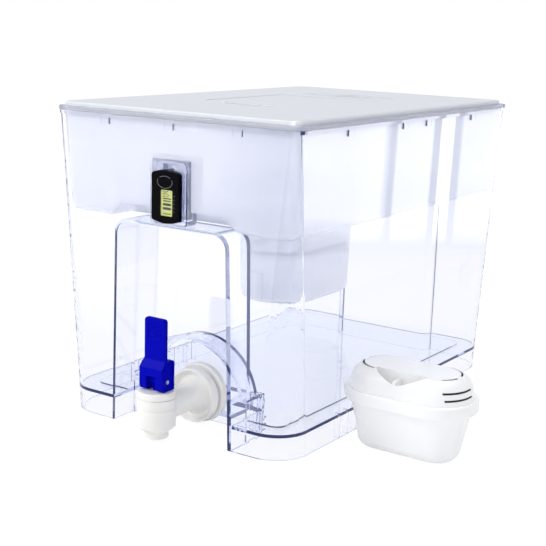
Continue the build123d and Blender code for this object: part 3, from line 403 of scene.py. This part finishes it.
def clear_plastic(name, surface_roughness, clear_share, absorbed, density, wave_depth, painted_glow=0.02):
    """A refracting shell that absorbs along its thickness, with shallow moulding waves."""
    recipe = Recipe(name)
    waves = recipe.speckle(wave_size, 1.0, wave_stretch)
    shell = recipe.add("BsdfPrincipled", {}, {
        "Base Color": milky_white if clear_share < 1 else no_tint,
        "Roughness": surface_roughness,
        "IOR": 1.49,
        "Transmission Weight": clear_share,
        # painted light: a faint blue glow stands in for the light that the plastic scatters back
        "Emission Color": (0.05, 0.15, 0.85, 1),
        "Emission Strength": painted_glow,
        "Normal": recipe.bump(waves, wave_depth),
    })
    body = recipe.add("VolumeAbsorption", {}, {"Color": absorbed, "Density": density})
    return recipe.finish(shell, body)


finishes = {
    "clear_tank": clear_plastic("clear_tank", 0.0, 1.0, (0.24, 0.38, 0.80, 1), 8.5, 0.00001),
    "clear_hopper": clear_plastic("clear_hopper", 0.15, 0.70, (0.50, 0.57, 0.88, 1), 3.0, 0.00004),
    "clear_pane": clear_plastic("clear_pane", 0.0, 1.0, (0.8, 0.85, 0.8, 1), 10.0, 0.0, 0.0),
}
print("clear plastics:", ", ".join(finishes))


# %% [markdown]
# ## Coloured plastics, metal and rubber
#
# Moulded pieces are never one flat colour: gloss and shade drift a little across them, and a fine
# grain from the mould breaks up the highlights. One function makes them all, from a colour, a
# roughness and the depth of that grain.

# %% Moulded plastics
patch_size = 0.03
grain_size = 0.0012
gloss_drift = 0.08


def moulded_plastic(name, colour, roughness, grain_depth=0.00002, drift=0.03, coat=0.0, gloss=0.5):
    """An opaque plastic whose colour and gloss drift a little, over a fine grain."""
    recipe = Recipe(name)
    patches = recipe.speckle(patch_size)
    darker = tuple(part * (1 - drift) for part in colour) + (1,)
    shell = recipe.add("BsdfPrincipled", {}, {
        "Base Color": recipe.tint(patches, darker, tuple(colour) + (1,)),
        "Roughness": patches * gloss_drift + (roughness - gloss_drift / 2),
        "IOR": 1.5,
        "Specular IOR Level": gloss,
        "Coat Weight": coat,
        "Coat Roughness": 0.05,
        "Normal": recipe.bump(recipe.speckle(grain_size), grain_depth),
    })
    return recipe.finish(shell)


# %% Metal
line_size = 0.0006
line_stretch = (0.05, 1, 1)


def metal(name, colour, roughness):
    """A bright metal with fine lines along X from its last machining."""
    recipe = Recipe(name)
    lines = recipe.speckle(line_size, 2.0, line_stretch)
    shell = recipe.add("BsdfPrincipled", {}, {
        "Base Color": colour + (1,),
        "Metallic": 1.0,
        "Roughness": lines * 0.15 + roughness,
    })
    return recipe.finish(shell)


# %% [markdown]
# The white of the lid is greyer than the white of the tap and of the cartridge. The lever's blue has
# almost no red or green in it, and it and the black case have little gloss, because a bright room
# mirrored in them would wash their colours out.

# %% The other finishes
finishes.update({
    "white_lid": moulded_plastic("white_lid", (0.60, 0.62, 0.65), 0.30, coat=0.5),
    "white_tap": moulded_plastic("white_tap", (0.91, 0.90, 0.87), 0.26),
    "blue_lever": moulded_plastic("blue_lever", (0.0, 0.001, 0.47), 0.34, drift=0.2, gloss=0.03),
    "black_case": moulded_plastic("black_case", (0.001, 0.001, 0.002), 0.2, gloss=0.06),
    "white_cartridge": moulded_plastic("white_cartridge", (0.97, 0.97, 0.97), 0.24, coat=0.3),
    "soft_rubber": moulded_plastic("soft_rubber", (0.72, 0.72, 0.7), 0.6),
    "dark_screen": moulded_plastic("dark_screen", (0.012, 0.012, 0.014), 0.6),
    "granules": moulded_plastic("granules", (0.05, 0.05, 0.05), 0.8),
    "display_module": moulded_plastic("display_module", (0.56, 0.60, 0.16), 0.4),
    "circuit_board": moulded_plastic("circuit_board", (0.02, 0.16, 0.07), 0.4),
    "steel": metal("steel", (0.62, 0.62, 0.64), 0.2),
})
print("finishes:", len(finishes))


# %% [markdown]
# ## From a solid model's triangles to a moulded surface
#
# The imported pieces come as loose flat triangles, which shows on every round wall. A copy is made
# with its doubles merged and its flat faces joined, its round faces shaded smooth, and a small
# bevel run along the edges that stay sharp, because a mould never gives a knife edge. Smooth shading
# spreads a round corner's light far over a flat face beside it, so normals are weighted by area:
# then large faces stay flat, and only the small ones round them take the turn.

# %% Smooth copies
sharp_turn = radians(32)
flat_turn = radians(0.4)
double_distance = 0.000002
edge_steps = 2


def smooth_copy(name, node, edge_radius=0.0):
    """A merged, smooth-shaded copy of a CAD node, with its sharp edges rounded."""
    source = nodes[node]
    shape = bmesh.new()
    shape.from_mesh(source.data)
    bmesh.ops.remove_doubles(shape, verts=shape.verts, dist=double_distance)
    bmesh.ops.dissolve_limit(shape, angle_limit=flat_turn, verts=shape.verts, edges=shape.edges,
                             delimit=set())
    for face in shape.faces:
        face.smooth = True
    for edge in shape.edges:
        edge.smooth = not (len(edge.link_faces) == 2 and edge.calc_face_angle(0) > sharp_turn)
    mesh = bpy.data.meshes.new(name)
    shape.to_mesh(mesh)
    shape.free()
    if "custom_normal" in mesh.attributes:
        mesh.attributes.remove(mesh.attributes["custom_normal"])
    piece = bpy.data.objects.new(name, mesh)
    bpy.context.scene.collection.objects.link(piece)
    if edge_radius:
        bevel = piece.modifiers.new("soft_edges", "BEVEL")
        bevel.width = edge_radius
        bevel.segments = edge_steps
        bevel.limit_method = "ANGLE"
        bevel.angle_limit = sharp_turn
        bevel.harden_normals = True
        flat_first = piece.modifiers.new("large_faces_stay_flat", "WEIGHTED_NORMAL")
        flat_first.keep_sharp = True
    return piece


# %% Dressing a piece
slot_of = {entry["node"]: entry["material_slot"] for entry in frame["record"]["subparts"]}
body_of = {node: piece["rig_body"] for node, piece in nodes.items()}


def dress(piece, node):
    """Give a new piece the finish, slot and body of the CAD node that it replaces."""
    piece.data.materials.clear()
    piece.data.materials.append(finishes[slot_of[node]])
    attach(piece, body_of[node])
    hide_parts(node)
    return piece


# %% [markdown]
# Each piece gets an edge radius of its own, in metres. The hopper gets none: its walls are thin, and
# its edges are seen through the tank. Small inner pieces keep the solid model's mesh and only get a
# better finish.

# %% Edges and finishes of the pieces
edge_radii = {
    "tank_shell": 0.0004, "hopper": 0.0, "lid": 0.0004, "fill_flap": 0.0003,
    "tap_body": 0.0004, "tap_collar": 0.0006, "tap_bonnet": 0.0003, "spout_nozzle": 0.0003,
    "lock_nut": 0.0003, "tap_lever": 0.0005, "valve_stem": 0.0002, "cartridge_body": 0.0004,
    "cartridge_cap": 0.0006, "indicator_housing": 0.0003,
}
dressed = {}
for node, edge_radius in edge_radii.items():
    dressed[node] = dress(smooth_copy("moulded_" + node, node, edge_radius), node)
for node, piece in nodes.items():
    if node not in dressed:
        piece.data.materials.clear()
        piece.data.materials.append(finishes[slot_of[node]])
mirroring.objects.link(dressed["tank_shell"])
for node in ("lid", "fill_flap"):
    top_pieces.objects.link(dressed[node])
print("smooth copies:", len(dressed))

# %% [markdown]
# The valve's spring is squeezed when the lever lifts the stem: its lower end rides up on the stem's
# collar, and its upper end stays against the bonnet. A stiff copy would push through the bonnet; this
# one is a smooth copy with a mesh of its own.

# %% The spring
spring = dress(smooth_copy("coiled_spring", "valve_spring"), "valve_spring")
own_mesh(spring)

# %% [markdown]
# ## The indicator's face
#
# A liquid crystal display shows dark segments just behind its glass. They could be a texture, but as
# thin plates they stay sharp at any distance and need no image. Each mark is a rounded rectangle,
# whose outline is a superellipse: across = a |cos t|^(2/n) and up = b |sin t|^(2/n), with the signs
# of the cosine and the sine. A large n gives nearly straight sides. All marks of a kind are computed
# as one array and go into one mesh.

# %% Rounded marks on an upright face
def rounded_marks(name, middles, halves, front, back, finish, node, points=24, power=6.0):
    """Thin plates facing -Y: superellipses about middles (across, up) with half sizes, all in metres."""
    middles, halves = np.asarray(middles, float), np.asarray(halves, float)
    t = np.arange(points) * 2 * pi / points
    rim = np.stack([np.sign(np.cos(t)) * np.abs(np.cos(t)) ** (2 / power),
                    np.sign(np.sin(t)) * np.abs(np.sin(t)) ** (2 / power)], axis=1)
    flat = middles[:, None, :] + halves[:, None, :] * rim[None, :, :]
    layers = []
    for depth in (front, back):
        layers.append(np.stack([flat[..., 0], np.full(flat.shape[:2], depth), flat[..., 1]], axis=-1))
    corners = np.stack(layers, axis=1).reshape(-1, 3)
    faces = []
    for number in range(len(middles)):
        start = number * 2 * points
        ring = np.arange(points)
        following = (ring + 1) % points
        faces.append((start + ring).tolist())
        faces.append((start + points + ring[::-1]).tolist())
        faces += np.stack([start + following, start + ring, start + points + ring,
                           start + points + following], axis=1).tolist()
    mesh = bpy.data.meshes.new(name)
    mesh.from_pydata(corners.tolist(), [], faces)
    mesh.materials.append(finish)
    piece = bpy.data.objects.new(name, mesh)
    scene.collection.objects.link(piece)
    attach(piece, body_of[node])
    return piece


# %% [markdown]
# The display shows two digits, each made of some of seven strokes, and five bars below them that
# tell how much life the filter has left. The numbers are generic.

# %% Digits and bars of the display
glass_low, glass_high = (np.array(corner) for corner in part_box("indicator_window"))
glass_middle = (glass_low + glass_high) / 2
display_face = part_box("indicator_display")[0][1]
segment_front, segment_back = display_face - 0.00008, display_face - 0.00002
segment_ink = moulded_plastic("segment_ink", (0.003, 0.005, 0.003), 0.5, gloss=0.1)

lit_segments = {"3": "abcdg", "5": "acdfg"}
segment_shapes = {  # middle and half size of each stroke, in digit heights
    "a": (0.0, 0.5, 0.22, 0.06), "g": (0.0, 0.0, 0.22, 0.06), "d": (0.0, -0.5, 0.22, 0.06),
    "b": (0.27, 0.25, 0.06, 0.20), "c": (0.27, -0.25, 0.06, 0.20),
    "e": (-0.27, -0.25, 0.06, 0.20), "f": (-0.27, 0.25, 0.06, 0.20),
}
digit_height = 4.0 * mm
strokes = []
for place, digit in enumerate("35"):
    left, up = (-3.4 + 3.2 * place) * mm, 6.6 * mm
    for segment in lit_segments[digit]:
        across, rise, half_width, half_height = (v * digit_height for v in segment_shapes[segment])
        strokes.append((left + across, up + rise, half_width, half_height))
for rise, half_height in ((3.2, 0.45), (1.4, 0.45), (-1.2, 0.95), (-4.2, 0.95), (-8.2, 0.35)):
    strokes.append((-0.2 * mm, rise * mm, 3.9 * mm, half_height * mm))
strokes = np.array(strokes)
rounded_marks("display_segments", strokes[:, :2] + glass_middle[[0, 2]], strokes[:, 2:],
              segment_front, segment_back, segment_ink, "indicator_housing")

print("display strokes:", len(strokes))

# %% [markdown]
# Five short grey marks stand beside the window, level with the bars. They lie a few hundredths of a
# millimetre proud of the black case, as printed marks do.

# %% The scale beside the window
scale_ink = moulded_plastic("scale_ink", (0.20, 0.21, 0.24), 0.5)
case_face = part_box("indicator_housing")[0][1]
mark_count, mark_pitch, mark_beside = 5, 2.9 * mm, 1.7 * mm
ink_front, ink_back = case_face - 0.04 * mm, case_face + 0.1 * mm
mark_places = [(glass_high[0] + mark_beside, glass_middle[2] + (number - 2) * mark_pitch)
               for number in range(mark_count)]
rounded_marks("scale_marks", mark_places, [(0.55 * mm, 0.18 * mm)] * mark_count,
              ink_front, ink_back, scale_ink, "indicator_housing")
print("scale marks:", mark_count)


# %% [markdown]
# A thin oval line runs round the button, with a gap at the upper left and the upper right. It is a
# band between two ellipses over a range of angles: each point is the middle plus (a cos t, b sin t),
# once with the inner half sizes and once with the outer ones.

# %% The line round the button
def oval_band(name, middle, halves, width, spans, front, back, finish, node, steps=40):
    """Flat bands round an ellipse, over spans of angle in degrees, with a little thickness."""
    corners, faces = [], []
    for first, last in spans:
        t = np.radians(np.linspace(first, last, steps))
        start = sum(len(part) for part in corners)
        loops = []
        for grow, depth in ((0, front), (width, front), (width, back), (0, back)):
            loops.append(np.stack([middle[0] + (halves[0] + grow) * np.cos(t), np.full(steps, depth),
                                   middle[1] + (halves[1] + grow) * np.sin(t)], axis=1))
        corners.append(np.concatenate(loops))
        step = np.arange(steps - 1)
        for loop in range(4):
            near, far = start + loop * steps + step, start + (loop + 1) % 4 * steps + step
            faces += np.stack([near, far, far + 1, near + 1], axis=1).tolist()
        ends = start + np.arange(4) * steps
        faces.append(ends[::-1].tolist())
        faces.append((ends + steps - 1).tolist())
    mesh = bpy.data.meshes.new(name)
    mesh.from_pydata(np.concatenate(corners).tolist(), [], faces)
    mesh.materials.append(finish)
    piece = bpy.data.objects.new(name, mesh)
    scene.collection.objects.link(piece)
    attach(piece, body_of[node])
    return piece


button_low, button_high = (np.array(corner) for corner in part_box("indicator_button"))
button_middle = (button_low + button_high)[[0, 2]] / 2
oval_band("button_line", button_middle, (6.8 * mm, 4.3 * mm), 0.32 * mm, [(-205, 25), (45, 135)],
          ink_front, ink_back, scale_ink, "indicator_housing")
print("indicator face dressed")
